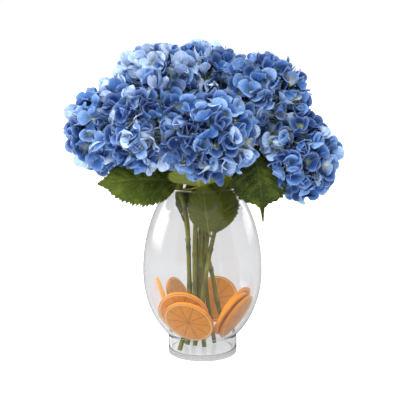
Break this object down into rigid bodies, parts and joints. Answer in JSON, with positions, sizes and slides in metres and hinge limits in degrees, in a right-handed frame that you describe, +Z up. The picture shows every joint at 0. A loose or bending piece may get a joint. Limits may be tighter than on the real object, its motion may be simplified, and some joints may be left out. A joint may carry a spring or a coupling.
{
  "type": "hydrangeas in a vase",
  "caption": "Cut blue hydrangea heads with leafy stems in a clear glass egg-shaped vase on a short foot, with orange slices standing round the stems inside.",
  "frame": {"origin": "centre of the underside of the vase's foot, on the table", "axes": "+Z up along the vase's axis, -Y towards the front that the picture shows, +X to the right in it"},
  "size_m": [0.4033, 0.3004, 0.4664],
  "materials": {
    "glass": "polished",
    "petals": "matte",
    "greens": "satin",
    "orange": "satin"
  },
  "bodies": {
    "root": {"vase": "glass", "orange_slice_front_left": "orange", "orange_slice_front_right": "orange", "orange_slice_back_right": "orange", "orange_slice_front_left_inner": "orange", "orange_slice_front_right_inner": "orange", "orange_slice_side_right": "orange", "orange_slice_left": "orange", "orange_slice_back_left": "orange", "leafy_stem_left": "greens", "leafy_stem_front_left": "greens", "leafy_stem_front": "greens", "leafy_stem_right": "greens", "leafy_stem_top_left": "greens", "leafy_stem_top": "greens", "leafy_stem_top_right": "greens", "leafy_stem_back": "greens", "leafy_stem_back_left": "greens", "flower_head_left": "petals", "flower_head_front_left": "petals", "flower_head_front": "petals", "flower_head_right": "petals", "flower_head_top_left": "petals", "flower_head_top": "petals", "flower_head_top_right": "petals", "flower_head_back": "petals", "flower_head_back_left": "petals"}
  },
  "joints": []
}
